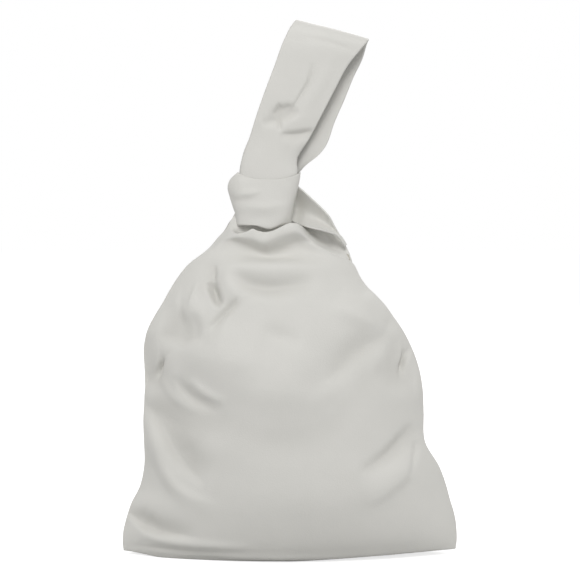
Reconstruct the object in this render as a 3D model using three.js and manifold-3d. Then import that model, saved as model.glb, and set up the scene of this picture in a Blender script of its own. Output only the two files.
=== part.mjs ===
// A knot bag in soft leather: a lined pouch with a long and a short handle on its shoulders.
// The long handle is pulled through the short one, which closes round the gathered neck as a band.
// Millimetres, +Z up. The front faces -Y, and the origin is on the floor under the middle of the pouch.

import * as THREE from "three";
import { mergeVertices } from "three/addons/utils/BufferGeometryUtils.js";
import Module from "manifold-3d";

// Materials and clearances
const LEATHER = 1.6; // thickness of the outer panels
const LINING = 0.8; // thickness of the lining cloth
const STRAP_LEATHER = 2.4; // the long handle is folded double at its edges
const SEAT_GAP = 0.3; // between pieces that rest on one another
const LINING_GAP = 2.2; // between a panel and its lining, which hangs more slackly in the folds
const SEAM_WIDTH = 8; // width of the turned-in edges
const SEAM_HALF = 0.8; // half the thickness of the two turned-in edges
const SEAM_INSET = 1.3; // from the inside of a panel edge to the turned-in edges
const SEAM_CLEARANCE = 2; // from the turned-in edges to the lining

// The pouch from the floor up. Each station gives its rise above the one below, its reach to the left
// and to the right, and how far the leather is drawn in there from the depth of the belly.
const BELLY_DEPTH = 55; // half the depth of the pouch where it is fullest
const BASE = { rise: 0, left: 149, right: 149, drawnIn: 21 };
const CORNER = { rise: 8, left: 151, right: 151, drawnIn: 11 };
const FLARE = { rise: 23, left: 148.5, right: 147, drawnIn: 4.5 };
const HIP = { rise: 30, left: 135, right: 140, drawnIn: 2 };
const BELLY = { rise: 44, left: 129.6, right: 117, drawnIn: 0 };
const CHEST = { rise: 45, left: 131, right: 118, drawnIn: 3 };
const SHOULDER = { rise: 40, left: 132, right: 107, drawnIn: 8.5 };
const SLOPE = { rise: 39, left: 115, right: 80.5, drawnIn: 16.5 };
const THROAT = { rise: 36, left: 91, right: 55.5, drawnIn: 26 };
const NECK = { rise: 28, left: 60, right: 41, drawnIn: 33 };
const POUCH_FULLNESS = 0.75; // power of the section: 0.5 is an ellipse, 1 a lens with sharp edges

// The main folds of the panels. Each is an oval swelling, or a hollow where its height is negative: the
// place of its middle, its turn from the level in degrees, half its length, half its width and its height.
const FRONT_FOLDS = [
  { x: -37, z: 194, turn: 0, length: 42, width: 22, height: 4 }, // the chest
  { x: -77, z: 161, turn: -38, length: 24, width: 14, height: -2.6 }, // the sag below it, on the left,
  { x: -6, z: 134, turn: 0, length: 42, width: 15, height: -3.4 }, // in the middle
  { x: 60, z: 178, turn: 52, length: 32, width: 15, height: -3.2 }, // and on the right
  { x: -3, z: 70, turn: 0, length: 90, width: 20, height: 2.2 }, // the belly
  { x: -19, z: 250, turn: 0, length: 34, width: 9, height: -4 }, // the trough under the knot
  { x: -67, z: 248, turn: -72, length: 15, width: 8, height: -5 }, // the pinch on the left shoulder
  { x: -59, z: 220, turn: 51, length: 26, width: 8, height: -4 }, // the crease from the pinch
  { x: -103, z: 211, turn: -12, length: 18, width: 10, height: -3 }, // the left shoulder's pocket
  { x: -102, z: 106, turn: -50, length: 38, width: 11, height: -4.4 }, // the valley on the lower left
  { x: -109, z: 84, turn: -60, length: 36, width: 10, height: 2.2 }, // the ridge beside it
  { x: -113, z: 29, turn: -8, length: 36, width: 6, height: -3 }, // the crease above the left corner
  { x: 97, z: 183, turn: -70, length: 26, width: 10, height: -4 }, // the pocket on the right
  { x: 85, z: 101, turn: 41, length: 28, width: 9, height: -3 }, // the valley on the lower right
  { x: 90, z: 84, turn: 41, length: 28, width: 9, height: 2 }, // and the ridge below it
];
const BACK_FOLDS = [
  { x: -56, z: 238, turn: 72, length: 30, width: 8, height: -4 }, // three pleats that run down from the knot
  { x: -26, z: 237, turn: 90, length: 34, width: 8, height: -3.4 },
  { x: 14, z: 240, turn: -70, length: 32, width: 8, height: -3.6 },
  { x: -97, z: 151, turn: -32, length: 32, width: 9, height: -3 }, // creases that run in from the side seams
  { x: 75, z: 152, turn: 31, length: 36, width: 10, height: -2.6 },
  { x: -93, z: 52, turn: -13, length: 36, width: 9, height: -3.2 },
  { x: 94, z: 61, turn: 20, length: 34, width: 9, height: -3.4 },
  { x: -10, z: 98, turn: 0, length: 70, width: 18, height: 1.4 }, // the belly
];
const FOLD_SEAM_SHARE = 0.16; // the folds die out over this share of half the width, towards a side seam,
const FOLD_FLOOR = 14; // over this height above the floor
const FOLD_RIM = 24; // and over this height below the rim

// The open mouth on the right, below the short handle
const MOUTH_LEFT = 8; // where the gathered neck ends
const MOUTH_DIP = 18; // how far the front rim sinks towards the right side seam
const LINING_DROP = 3; // the lining ends this far below the rim

// The knot: the short handle as a band round the neck
const KNOT_X = -23; // middle of the band's hole
const GATHER_RISE = 6.5; // from the pouch's rim to the lower edge of the band
const GATHER_MARGIN = 1; // the gather stays this far inside the rim
const BAND_HEIGHT = 40;
const BAND_WALL = 3;
const BAND_LEFT_FOLD = 5.5; // extra thickness where the short handle folds round on the left
const BAND_FOLD_TURN = THREE.MathUtils.degToRad(126); // the fold swells by the sine of this turn, upwards
const HOLE_LOW = { width: 24.5, depth: 14 }; // half sizes of the hole at the lower edge
const HOLE_HIGH = { width: 25.5, depth: 7.8 }; // and at the upper edge
const BAND_TILT = 0.06; // the upper edge falls to the right
const NECK_CLEARANCE = 1.2; // between the hole and the gathered neck
const BAND_TRAVEL = 10; // how far the band slides up the strap
const STRAP_LEAN = THREE.MathUtils.degToRad(12); // how far the strap leans to the left
const ROUNDNESS = 2.4; // power of the superellipse of the neck and the band

// The root of the short handle, a triangle from the right shoulder to the back of the band
const ROOT_DROP = 8.5; // its tip is this far below the upper edge of the band
const ROOT_TIP_X = 13; // where its outer edge ends beside the band
const ROOT_BULGE = 4; // how far its outer edge bows out
const ROOT_LEFT = 3; // its edge beside the band
const ROOT_TIP_DEPTH = 12; // its distance behind the middle at the tip

// The long handle
const LEAN_RISE = 7; // from the band to the pivot about which the strap leans
const FALL_RISE = 14; // from there to the line along which the strap falls forwards and backwards
const FALL_X = -20; // the fall line crosses this place
const FALL_TILT = THREE.MathUtils.degToRad(12); // the fall line drops to the right
const FALL_RADIUS = 6.5; // half the thickness of the folded strap on the fall line
const ROOT_HALF_DEPTH = 6; // half the thickness of the strap inside the band
const LEAN_SEAT = 24; // radius of the round end inside the neck
const ROOT_HALF_WIDTH = 23.3; // half the width of the strap inside the band
const ROOT_END_HALF = 18; // half the width of its round end
const LOOP_START = THREE.MathUtils.degToRad(60); // the two layers leave the fall line at this angle

// The strap loop from the fall line up. Each station gives its rise above the one below, the places of
// the edges along the fall line, and how far each layer stands from the middle.
const STRAP_FOOT = { rise: 0, left: -20, right: 24.5, backRight: 24.5 };
const STRAP_LOW = { rise: 24, left: -17.3, right: 33.1, backRight: 46.9, spread: 8 };
const STRAP_MIDDLE = { rise: 28, left: -14.2, right: 41, backRight: 54.4, spread: 11 };
const STRAP_FULL = { rise: 29, left: -10.4, right: 49, backRight: 59.4, spread: 11.5 };
const STRAP_HIGH = { rise: 24, left: -6.4, right: 57.3, backRight: 62.3, spread: 9.5 };
const STRAP_TOP = { rise: 18.5, left: -0.7, right: 63.5, backRight: 64 };
const FOLD_DROP = 4; // below its top the strap loop is still nearly as wide as its fold
const FOLD_SPREAD = 6.2; // half the width of the loop there

// Fineness of the curved pieces
const POUCH_COLUMNS = 28;
const LINING_COLUMNS = 20;
const WALL_ROWS = 24;
const ROW_CROWDING = 1.2; // power that draws the rows together at the base
const COLUMN_CROWDING = 0.5; // share by which the columns are drawn together at the side seams
const BAND_STEPS = 14;
const BAND_ROWS = 5;
const ROOT_STEPS = 6;
const LOOP_STEPS = 16;
const LOOP_COLUMNS = 4;
const SEAT_SIDES = 48;
const FOLD_SIDES = 32;
const END_SIDES = 16;

const wasm = await Module();
wasm.setup();

const leather = { color: 0xd6d5cf, roughness: 0.72, metalness: 0 };
const liningCloth = { color: 0xcbc6b8, roughness: 0.9, metalness: 0 };

const bag = new THREE.Group();
bag.name = "knot_bag";

function addPiece(name, geometry, finish) {
  geometry.computeVertexNormals();
  const mesh = new THREE.Mesh(geometry, new THREE.MeshStandardMaterial(finish));
  mesh.name = name;
  bag.add(mesh);
}

// The stations with their heights, each the sum of the rises up to it.
function stacked(stations) {
  let height = 0;
  return stations.map((station) => {
    height += station.rise;
    return { ...station, height };
  });
}

// A smooth function of height through the stations' values, by cubic steps with averaged slopes.
function along(stations, key) {
  const last = stations.length - 1;
  const slope = (i) => {
    const below = stations[Math.max(i - 1, 0)];
    const above = stations[Math.min(i + 1, last)];
    return (above[key] - below[key]) / (above.height - below.height);
  };
  return (height) => {
    let i = 0;
    while (i < last - 1 && height > stations[i + 1].height) i += 1;
    const a = stations[i];
    const b = stations[i + 1];
    const span = b.height - a.height;
    const t = (height - a.height) / span;
    const rise = t * t * (3 - 2 * t);
    const startBend = t * (1 - t) * (1 - t) * span * slope(i);
    const endBend = t * t * (t - 1) * span * slope(i + 1);
    return a[key] + (b[key] - a[key]) * rise + startBend + endBend;
  };
}

// Turns a closed list of triangles to face out and makes it a geometry.
function closedGeometry(points, triangles) {
  const volume = triangles.reduce((sum, [a, b, c]) => {
    const cross = new THREE.Vector3().crossVectors(points[b], points[c]);
    return sum + points[a].dot(cross);
  }, 0);
  const order = volume < 0 ? triangles.map(([a, b, c]) => [a, c, b]) : triangles;
  const geometry = new THREE.BufferGeometry().setFromPoints(points);
  geometry.setIndex(order.flat());
  return geometry;
}

// The two triangles of a four-cornered face.
function quad(a, b, c, d) {
  return [
    [a, b, c],
    [a, c, d],
  ];
}

// A closed sheet between two grids of points with the same rows and columns.
function sheetBetween(outer, inner) {
  const rows = outer.length;
  const columns = outer[0].length;
  const count = rows * columns;
  const at = (row, column) => row * columns + column;
  const triangles = [];
  for (let r = 0; r + 1 < rows; r += 1) {
    for (let c = 0; c + 1 < columns; c += 1) {
      const corners = [at(r, c), at(r, c + 1), at(r + 1, c + 1), at(r + 1, c)];
      triangles.push(...quad(...corners));
      triangles.push(...quad(...corners.map((i) => i + count).reverse()));
    }
  }
  const rim = [];
  for (let c = 0; c + 1 < columns; c += 1) rim.push(at(0, c));
  for (let r = 0; r + 1 < rows; r += 1) rim.push(at(r, columns - 1));
  for (let c = columns - 1; c > 0; c -= 1) rim.push(at(rows - 1, c));
  for (let r = rows - 1; r > 0; r -= 1) rim.push(at(r, 0));
  rim.forEach((a, i) => {
    const b = rim[(i + 1) % rim.length];
    triangles.push(...quad(b, a, a + count, b + count));
  });
  return closedGeometry([...outer.flat(), ...inner.flat()], triangles);
}

// A closed solid through a stack of convex outlines with the same number of points.
function loft(outlines) {
  const count = outlines[0].length;
  const triangles = [];
  for (let k = 0; k + 1 < outlines.length; k += 1) {
    for (let i = 0; i < count; i += 1) {
      const j = (i + 1) % count;
      triangles.push(...quad(k * count + i, k * count + j, (k + 1) * count + j, (k + 1) * count + i));
    }
  }
  const top = (outlines.length - 1) * count;
  for (let i = 1; i + 1 < count; i += 1) {
    triangles.push([0, i + 1, i]);
    triangles.push([top, top + i, top + i + 1]);
  }
  return closedGeometry(outlines.flat(), triangles);
}

function toSolid(geometry) {
  const bare = geometry.clone();
  bare.deleteAttribute("normal");
  bare.deleteAttribute("uv");
  const merged = mergeVertices(bare, 1e-4);
  return new wasm.Manifold(
    new wasm.Mesh({
      numProp: 3,
      vertProperties: merged.getAttribute("position").array,
      triVerts: new Uint32Array(merged.index.array),
    }),
  );
}

function toGeometry(solid) {
  const mesh = solid.getMesh();
  const geometry = new THREE.BufferGeometry();
  geometry.setAttribute("position", new THREE.BufferAttribute(mesh.vertProperties, 3));
  geometry.setIndex(new THREE.BufferAttribute(mesh.triVerts, 1));
  return geometry;
}

// A round bar along Y, to cut or to join.
function barAlongDepth(radius, halfDepth, x, z) {
  const geometry = new THREE.CylinderGeometry(radius, radius, 2 * halfDepth, SEAT_SIDES);
  geometry.translate(x, 0, z);
  return geometry;
}

// The pouch
const pouch = stacked([BASE, CORNER, FLARE, HIP, BELLY, CHEST, SHOULDER, SLOPE, THROAT, NECK]);
const neckHeight = pouch.at(-1).height;
const neckDepth = BELLY_DEPTH - NECK.drawnIn;
const leftReach = along(pouch, "left");
const rightReach = along(pouch, "right");
const drawnIn = along(pouch, "drawnIn");

const FRONT = -1;
const BACK = 1;
const smoothstep = THREE.MathUtils.smoothstep;
const lerp = THREE.MathUtils.lerp;

// Where the rim lies, for a place across the pouch from -1 at the left seam to 1 at the right seam.
// The front rim sinks from the end of the gathered neck to the top of the right seam.
const neckMiddle = (NECK.right - NECK.left) / 2;
const neckHalf = (NECK.right + NECK.left) / 2;
const mouthStart = (MOUTH_LEFT - neckMiddle) / neckHalf;

function rimHeight(side, across) {
  const dip = side === FRONT ? MOUTH_DIP * smoothstep(across, mouthStart, 1) : 0;
  return neckHeight - dip;
}

// A point of the pouch: x runs from seam to seam, and the depth falls to nothing at both seams.
function pouchPoint(side, across, height, inset) {
  const left = leftReach(height) - inset.edge;
  const right = rightReach(height) - inset.edge;
  const x = (right - left) / 2 + across * ((right + left) / 2);
  const swell = (1 - across * across) ** POUCH_FULLNESS;
  const depth = BELLY_DEPTH - drawnIn(height) - inset.depth;
  const y = side * (SEAT_GAP / 2 + depth * swell + foldHeight(side, across, x, height));
  return new THREE.Vector3(x, y, height);
}

// How far the folds lift one place of a panel: each falls off as a bell along and across its own line.
function foldHeight(side, across, x, height) {
  const folds = side === FRONT ? FRONT_FOLDS : BACK_FOLDS;
  const lift = folds.reduce((sum, fold) => {
    const turn = THREE.MathUtils.degToRad(fold.turn);
    const ahead = (x - fold.x) * Math.cos(turn) + (height - fold.z) * Math.sin(turn);
    const beside = (height - fold.z) * Math.cos(turn) - (x - fold.x) * Math.sin(turn);
    const distance = (ahead / fold.length) ** 2 + (beside / fold.width) ** 2;
    return sum + fold.height * Math.exp(-distance);
  }, 0);
  const fromSeams = smoothstep(1 - Math.abs(across), 0, FOLD_SEAM_SHARE);
  const fromFloor = smoothstep(height, 0, FOLD_FLOOR);
  const fromRim = smoothstep(rimHeight(side, across) - height, 0, FOLD_RIM);
  return lift * fromSeams * fromFloor * fromRim;
}

// One face of a panel: the flat base from the bottom seam to the wall, then the wall up to the rim.
function pouchGrid(side, columns, inset) {
  const places = Array.from({ length: columns + 1 }, (_, i) => {
    const even = (2 * i) / columns - 1;
    return lerp(even, Math.sin((even * Math.PI) / 2), COLUMN_CROWDING);
  });
  const wall = wallShares.map((share) =>
    places.map((across) => {
      const top = rimHeight(side, across) - inset.rim;
      return pouchPoint(side, across, lerp(inset.floor, top, share), inset);
    }),
  );
  const seam = wall[0].map((point) => point.clone().setY((side * SEAT_GAP) / 2));
  const base = seam.map((point, i) => point.clone().lerp(wall[0][i], 0.5));
  return [seam, base, ...wall];
}

// The rows of the wall stand closest where it turns up from the base.
const wallShares = Array.from({ length: WALL_ROWS + 1 }, (_, i) => (i / WALL_ROWS) ** ROW_CROWDING);

const skinOutside = { edge: 0, depth: 0, floor: 0, rim: 0 };
const skinInside = { edge: LEATHER, depth: LEATHER, floor: LEATHER, rim: 0 };
const seamReach = LEATHER + SEAM_INSET + SEAM_WIDTH;
const liningOutside = {
  edge: seamReach + SEAM_CLEARANCE,
  depth: LEATHER + LINING_GAP,
  floor: LEATHER + SEAT_GAP + SEAM_WIDTH + SEAT_GAP,
  rim: LINING_DROP,
};
const liningInside = {
  edge: liningOutside.edge + LINING,
  depth: liningOutside.depth + LINING,
  floor: liningOutside.floor + LINING,
  rim: LINING_DROP,
};

for (const [side, word] of [
  [FRONT, "front"],
  [BACK, "back"],
]) {
  const outside = pouchGrid(side, POUCH_COLUMNS, skinOutside);
  const inside = pouchGrid(side, POUCH_COLUMNS, skinInside);
  addPiece(`${word}_panel`, sheetBetween(outside, inside), leather);
  const cloth = pouchGrid(side, LINING_COLUMNS, liningOutside);
  const clothInside = pouchGrid(side, LINING_COLUMNS, liningInside);
  addPiece(`${word}_lining`, sheetBetween(cloth, clothInside), liningCloth);
}

// The seams: the turned-in edges of both panels, a flat strip along each side and along the base
function strip(near, far) {
  const onSide = (y) => near.map((point, i) => [point.clone().setY(y), far[i].clone().setY(y)]);
  return sheetBetween(onSide(-SEAM_HALF), onSide(SEAM_HALF));
}

const seamFloor = LEATHER + SEAT_GAP;
const sideSeamStart = seamFloor + SEAM_WIDTH + SEAT_GAP;

function sideSeam(direction, reach, top) {
  const rows = wallShares.map((share) => lerp(sideSeamStart, top, share));
  const edge = (depth) =>
    rows.map((height) => new THREE.Vector3(direction * (reach(height) - depth), 0, height));
  return strip(edge(LEATHER + SEAM_INSET), edge(seamReach));
}

const leftSeamTop = neckHeight - LINING_DROP;
addPiece("left_side_seam", sideSeam(-1, leftReach, leftSeamTop), leather);
addPiece("right_side_seam", sideSeam(1, rightReach, leftSeamTop - MOUTH_DIP), leather);

const bottomEnds = [
  -leftReach(seamFloor) + seamReach,
  rightReach(seamFloor) - seamReach,
];
const bottomEdge = (height) => bottomEnds.map((x) => new THREE.Vector3(x, 0, height));
addPiece("bottom_seam", strip(bottomEdge(seamFloor), bottomEdge(seamFloor + SEAM_WIDTH)), leather);

// Half of a superellipse on the front or the back of the middle plane, as an outline of points
function halfOutline(side, middle, width, depth, height, steps) {
  return Array.from({ length: steps + 1 }, (_, i) => {
    const angle = (i / steps) * Math.PI;
    const across = Math.cos(angle);
    const x = middle + width * Math.sign(across) * Math.abs(across) ** (2 / ROUNDNESS);
    const y = side * (SEAT_GAP / 2 + depth * Math.sin(angle) ** (2 / ROUNDNESS));
    return new THREE.Vector3(x, y, height);
  });
}

// The gathered neck: it closes the pouch under the band, and narrows inside the band
const bandBottom = neckHeight + GATHER_RISE;
const bandTop = bandBottom + BAND_HEIGHT;
const gatherLeft = -NECK.left + GATHER_MARGIN;
const gatherMiddle = (MOUTH_LEFT + gatherLeft) / 2;
const gatherHalf = (MOUTH_LEFT - gatherLeft) / 2;
const leanCentre = new THREE.Vector3(KNOT_X, 0, bandTop + LEAN_RISE);
const gatherTop = leanCentre.z - Math.sqrt(LEAN_SEAT ** 2 - ROOT_END_HALF ** 2);
const gatherHoleWidth = HOLE_LOW.width - NECK_CLEARANCE;

for (const [side, word] of [
  [FRONT, "front"],
  [BACK, "back"],
]) {
  const level = (middle, width, depth, height) =>
    halfOutline(side, middle, width, depth, height, BAND_STEPS);
  const ledge = bandBottom - SEAT_GAP;
  const solid = toSolid(
    loft([
      level(gatherMiddle, gatherHalf, neckDepth - GATHER_MARGIN, neckHeight + SEAT_GAP),
      level(KNOT_X, HOLE_LOW.width + BAND_WALL, HOLE_LOW.depth + BAND_WALL, ledge - SEAT_GAP),
      level(KNOT_X, gatherHoleWidth, HOLE_LOW.depth - NECK_CLEARANCE, ledge),
      level(KNOT_X, gatherHoleWidth, HOLE_HIGH.depth - NECK_CLEARANCE, gatherTop),
    ]),
  );
  const seat = toSolid(
    barAlongDepth(LEAN_SEAT + SEAT_GAP, 2 * neckDepth, leanCentre.x, leanCentre.z),
  );
  addPiece(`${word}_neck_gather`, toGeometry(solid.subtract(seat)), leather);
}

// The band: the two arms of the short handle, each half of a sleeve round the neck
function bandGrid(side, thickness, leftFold) {
  return Array.from({ length: BAND_ROWS + 1 }, (_, r) => {
    const rise = r / BAND_ROWS;
    const width = lerp(HOLE_LOW.width, HOLE_HIGH.width, rise) + thickness;
    const depth = lerp(HOLE_LOW.depth, HOLE_HIGH.depth, rise) + thickness;
    const height = lerp(bandBottom, bandTop, rise);
    const fold = leftFold * Math.sin(rise * BAND_FOLD_TURN);
    return halfOutline(side, KNOT_X, width, depth, height, BAND_STEPS).map((point) => {
      const towardsLeft = Math.max(0, (KNOT_X - point.x) / width);
      point.x -= fold * towardsLeft;
      point.z -= rise * BAND_TILT * (point.x - KNOT_X);
      return point;
    });
  });
}

for (const [side, word] of [
  [FRONT, "front"],
  [BACK, "back"],
]) {
  const outside = bandGrid(side, BAND_WALL, BAND_LEFT_FOLD);
  const inside = bandGrid(side, 0, 0);
  addPiece(`short_handle_${word}`, sheetBetween(outside, inside), leather);
}

// The root of the short handle: a curved triangle that stands on the back panel's rim
function shortRootGrid(inset) {
  const foot = neckHeight + SEAT_GAP;
  return Array.from({ length: ROOT_STEPS + 1 }, (_, r) => {
    const rise = r / ROOT_STEPS;
    const rightEdge = lerp(NECK.right, ROOT_TIP_X, rise) + ROOT_BULGE * Math.sin(rise * Math.PI);
    return Array.from({ length: ROOT_STEPS + 1 }, (_, c) => {
      const share = c / ROOT_STEPS;
      const footX = lerp(ROOT_LEFT, NECK.right, share);
      const across = Math.min((footX - neckMiddle) / neckHalf, 1);
      const footDepth = (neckDepth - inset) * (1 - across * across) ** POUCH_FULLNESS;
      const depth = lerp(footDepth, ROOT_TIP_DEPTH - inset, rise);
      const edge = inset * share;
      return new THREE.Vector3(
        lerp(ROOT_LEFT, rightEdge - edge, share),
        SEAT_GAP / 2 + depth,
        lerp(foot, bandTop - ROOT_DROP, rise),
      );
    });
  });
}
addPiece("short_handle_root", sheetBetween(shortRootGrid(0), shortRootGrid(LEATHER)), leather);

// The root of the long handle: the folded strap inside the band, from its round end to the fall line
const fallCentre = new THREE.Vector3(FALL_X, 0, leanCentre.z + FALL_RISE);
const alongFall = new THREE.Vector3(Math.cos(FALL_TILT), 0, -Math.sin(FALL_TILT));
const upStrap = new THREE.Vector3(Math.sin(FALL_TILT), 0, Math.cos(FALL_TILT));

// A point of the strap, from its place along the fall line, its depth and its height up the strap
function strapPoint(across, depth, up) {
  const point = fallCentre.clone();
  point.addScaledVector(alongFall, across);
  point.addScaledVector(upStrap, up);
  point.y = depth;
  return point;
}

const rootOutline = new THREE.Shape();
const endAngle = Math.asin(ROOT_END_HALF / LEAN_SEAT);
const fallLeft = strapPoint(STRAP_FOOT.left + SEAT_GAP, 0, 0);
const fallRight = strapPoint(STRAP_FOOT.right - SEAT_GAP, 0, 0);
const downwards = -Math.PI / 2;
rootOutline.absarc(leanCentre.x, leanCentre.z, LEAN_SEAT, downwards - endAngle, downwards + endAngle, false);
rootOutline.lineTo(leanCentre.x + ROOT_HALF_WIDTH, bandTop);
rootOutline.lineTo(fallRight.x, fallRight.z);
rootOutline.lineTo(fallLeft.x, fallLeft.z);
rootOutline.lineTo(leanCentre.x - ROOT_HALF_WIDTH, bandTop);
rootOutline.closePath();

const rootBlock = new THREE.ExtrudeGeometry(rootOutline, {
  depth: 2 * ROOT_HALF_DEPTH,
  bevelEnabled: false,
  curveSegments: END_SIDES,
});
rootBlock.rotateX(Math.PI / 2);
rootBlock.translate(0, ROOT_HALF_DEPTH, 0);
const fallLength = STRAP_FOOT.right - STRAP_FOOT.left;
const fallBar = new THREE.CylinderGeometry(FALL_RADIUS, FALL_RADIUS, fallLength, FOLD_SIDES);
fallBar.rotateZ(-Math.PI / 2);
fallBar.rotateY(FALL_TILT);
const fallMiddle = strapPoint((STRAP_FOOT.left + STRAP_FOOT.right) / 2, 0, 0);
fallBar.translate(fallMiddle.x, 0, fallMiddle.z);

// As far as the band reaches when it is pushed up and the strap leans, the strap is folded to a flat oval.
// Above that the fold opens.
const bandHalf = HOLE_HIGH.width + BAND_WALL + BAND_LEFT_FOLD;
const bandReach = BAND_TRAVEL + bandHalf * (BAND_TILT + Math.sin(STRAP_LEAN));
const ovalTop = bandTop + bandReach + 2 * SEAT_GAP;
const cutSize = 2 * (STRAP_FOOT.right - STRAP_FOOT.left);
for (const [side, word] of [
  [FRONT, "front"],
  [BACK, "back"],
]) {
  const ovalLevel = (height) =>
    halfOutline(side, KNOT_X, ROOT_HALF_WIDTH, ROOT_HALF_DEPTH, height, BAND_STEPS);
  const oval = toSolid(loft([ovalLevel(bandBottom), ovalLevel(ovalTop + SEAT_GAP)]));
  const above = new THREE.BoxGeometry(cutSize, cutSize, cutSize);
  above.translate(KNOT_X, (side * (cutSize + SEAT_GAP)) / 2, ovalTop + cutSize / 2);
  const folded = toSolid(rootBlock).add(toSolid(fallBar));
  const root = folded.intersect(oval.add(toSolid(above)));
  addPiece(`long_handle_root_${word}`, toGeometry(root), leather);
}

// The strap loop: each layer is a profile in depth and height, carried from its left to its right edge
const strap = stacked([STRAP_FOOT, STRAP_LOW, STRAP_MIDDLE, STRAP_FULL, STRAP_HIGH, STRAP_TOP]);
const strapTop = strap.at(-1).height;
const loopStart = FALL_RADIUS + SEAT_GAP + STRAP_LEATHER / 2;
const loopEnd = strapTop - STRAP_LEATHER / 2;
const loopProfile = new THREE.SplineCurve([
  new THREE.Vector2(loopStart * Math.cos(LOOP_START), loopStart * Math.sin(LOOP_START)),
  ...strap.slice(1, -1).map((station) => new THREE.Vector2(station.spread, station.height)),
  new THREE.Vector2(FOLD_SPREAD, loopEnd - FOLD_DROP),
  new THREE.Vector2(SEAT_GAP / 2, loopEnd),
]);

function loopGrid(side, rightKey, offset) {
  const leftEdge = along(strap, "left");
  const rightEdge = along(strap, rightKey);
  return Array.from({ length: LOOP_STEPS + 1 }, (_, i) => {
    const share = i / LOOP_STEPS;
    const point = loopProfile.getPoint(share);
    const radial = new THREE.Vector2(Math.cos(LOOP_START), Math.sin(LOOP_START));
    const tangent = loopProfile.getTangent(share);
    let outward = new THREE.Vector2(tangent.y, -tangent.x);
    if (i === 0) outward = radial;
    if (i === LOOP_STEPS) outward = new THREE.Vector2(0, 1);
    point.addScaledVector(outward, offset);
    const start = leftEdge(point.y);
    const end = rightEdge(point.y);
    return Array.from({ length: LOOP_COLUMNS + 1 }, (_, c) =>
      strapPoint(lerp(start, end, c / LOOP_COLUMNS), side * point.x, point.y),
    );
  });
}

for (const [side, word, rightKey] of [
  [FRONT, "front", "right"],
  [BACK, "back", "backRight"],
]) {
  const outside = loopGrid(side, rightKey, STRAP_LEATHER / 2);
  const inside = loopGrid(side, rightKey, -STRAP_LEATHER / 2);
  addPiece(`long_handle_${word}`, sheetBetween(outside, inside), leather);
}

export default bag;
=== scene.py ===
# %% [markdown]
# # A knot bag in soft leather
# The bag is a lined pouch with two handles on its shoulders. The long handle is pulled through the short
# one, and the short one closes round the neck as a band. The solids of the part give the places and the
# bodies that move, and this lesson makes the leather that is seen: each piece is a surface worked out with
# numpy on a grid, so that every fold is a number that can be changed.

import bpy
import numpy as np
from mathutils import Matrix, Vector


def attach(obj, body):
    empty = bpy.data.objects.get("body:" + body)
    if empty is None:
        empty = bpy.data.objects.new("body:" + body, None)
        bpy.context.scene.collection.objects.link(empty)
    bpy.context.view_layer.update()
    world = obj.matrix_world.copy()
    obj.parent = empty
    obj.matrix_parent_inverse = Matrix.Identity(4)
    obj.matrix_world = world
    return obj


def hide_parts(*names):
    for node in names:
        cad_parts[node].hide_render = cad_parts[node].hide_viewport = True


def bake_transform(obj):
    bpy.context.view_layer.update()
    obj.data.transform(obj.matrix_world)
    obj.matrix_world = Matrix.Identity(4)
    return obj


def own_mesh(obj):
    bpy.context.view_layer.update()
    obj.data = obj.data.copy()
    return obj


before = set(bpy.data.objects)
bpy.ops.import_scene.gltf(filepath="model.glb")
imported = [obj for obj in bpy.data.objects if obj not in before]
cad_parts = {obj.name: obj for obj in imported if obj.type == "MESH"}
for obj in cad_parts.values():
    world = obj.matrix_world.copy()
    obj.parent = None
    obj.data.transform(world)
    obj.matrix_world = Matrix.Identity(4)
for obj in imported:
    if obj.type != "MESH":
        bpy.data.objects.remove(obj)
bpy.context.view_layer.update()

# %% [markdown]
# The photo is a front view, so a place in it can be written as a pixel. One pixel is 0.9 mm on the middle
# plane of the bag, which comes from the strap loop: a hand has to pass through it.

# %% From the photo to the bag
PIXEL = 0.0009
PHOTO_SIDE = 580  # pixels
MIDDLE_COLUMN = 291
FLOOR_ROW = 558
MM = 0.001


def seen(points):
    """Pixels to metres on the middle plane: x is 0.9 mm times the columns right of the middle, z 0.9 mm
    times the rows above the floor. A third number is a depth in millimetres and becomes metres."""
    points = np.asarray(points, float)
    x = (points[..., 0] - MIDDLE_COLUMN) * PIXEL
    z = (FLOOR_ROW - points[..., 1]) * PIXEL
    depth = points[..., 2] * MM if points.shape[-1] > 2 else np.zeros_like(x)
    return np.stack([x, depth, z], axis=-1)


def smooth(knots, values, at):
    """A curve through the values at the knots: cubic steps, each with the mean slope at its two ends."""
    knots = np.asarray(knots, float)
    values = np.asarray(values, float)
    at = np.asarray(at, float)
    slopes = np.gradient(values, knots, axis=0)
    i = np.clip(np.searchsorted(knots, at) - 1, 0, len(knots) - 2)
    span = knots[i + 1] - knots[i]
    t = (at - knots[i]) / span
    spread = (-1,) + (1,) * (values.ndim - 1)
    span, t = span.reshape(spread), t.reshape(spread)
    rise = t * t * (3 - 2 * t)
    start = t * (1 - t) ** 2 * span * slopes[i]
    end = t * t * (t - 1) * span * slopes[i + 1]
    return values[i] + (values[i + 1] - values[i]) * rise + start + end


def ease(x, low, high):
    """0 below low, 1 above high, and a smooth step between them."""
    t = np.clip((x - low) / (high - low), 0, 1)
    return t * t * (3 - 2 * t)


print("frame of the photo:", round(PHOTO_SIDE * PIXEL, 3), "m")

# %% [markdown]
# Every piece ends as a grid of points. One helper joins the points into four-cornered faces, closes the
# grid where the surface runs round on itself, and keeps a value at each point where the finish needs one.

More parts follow.
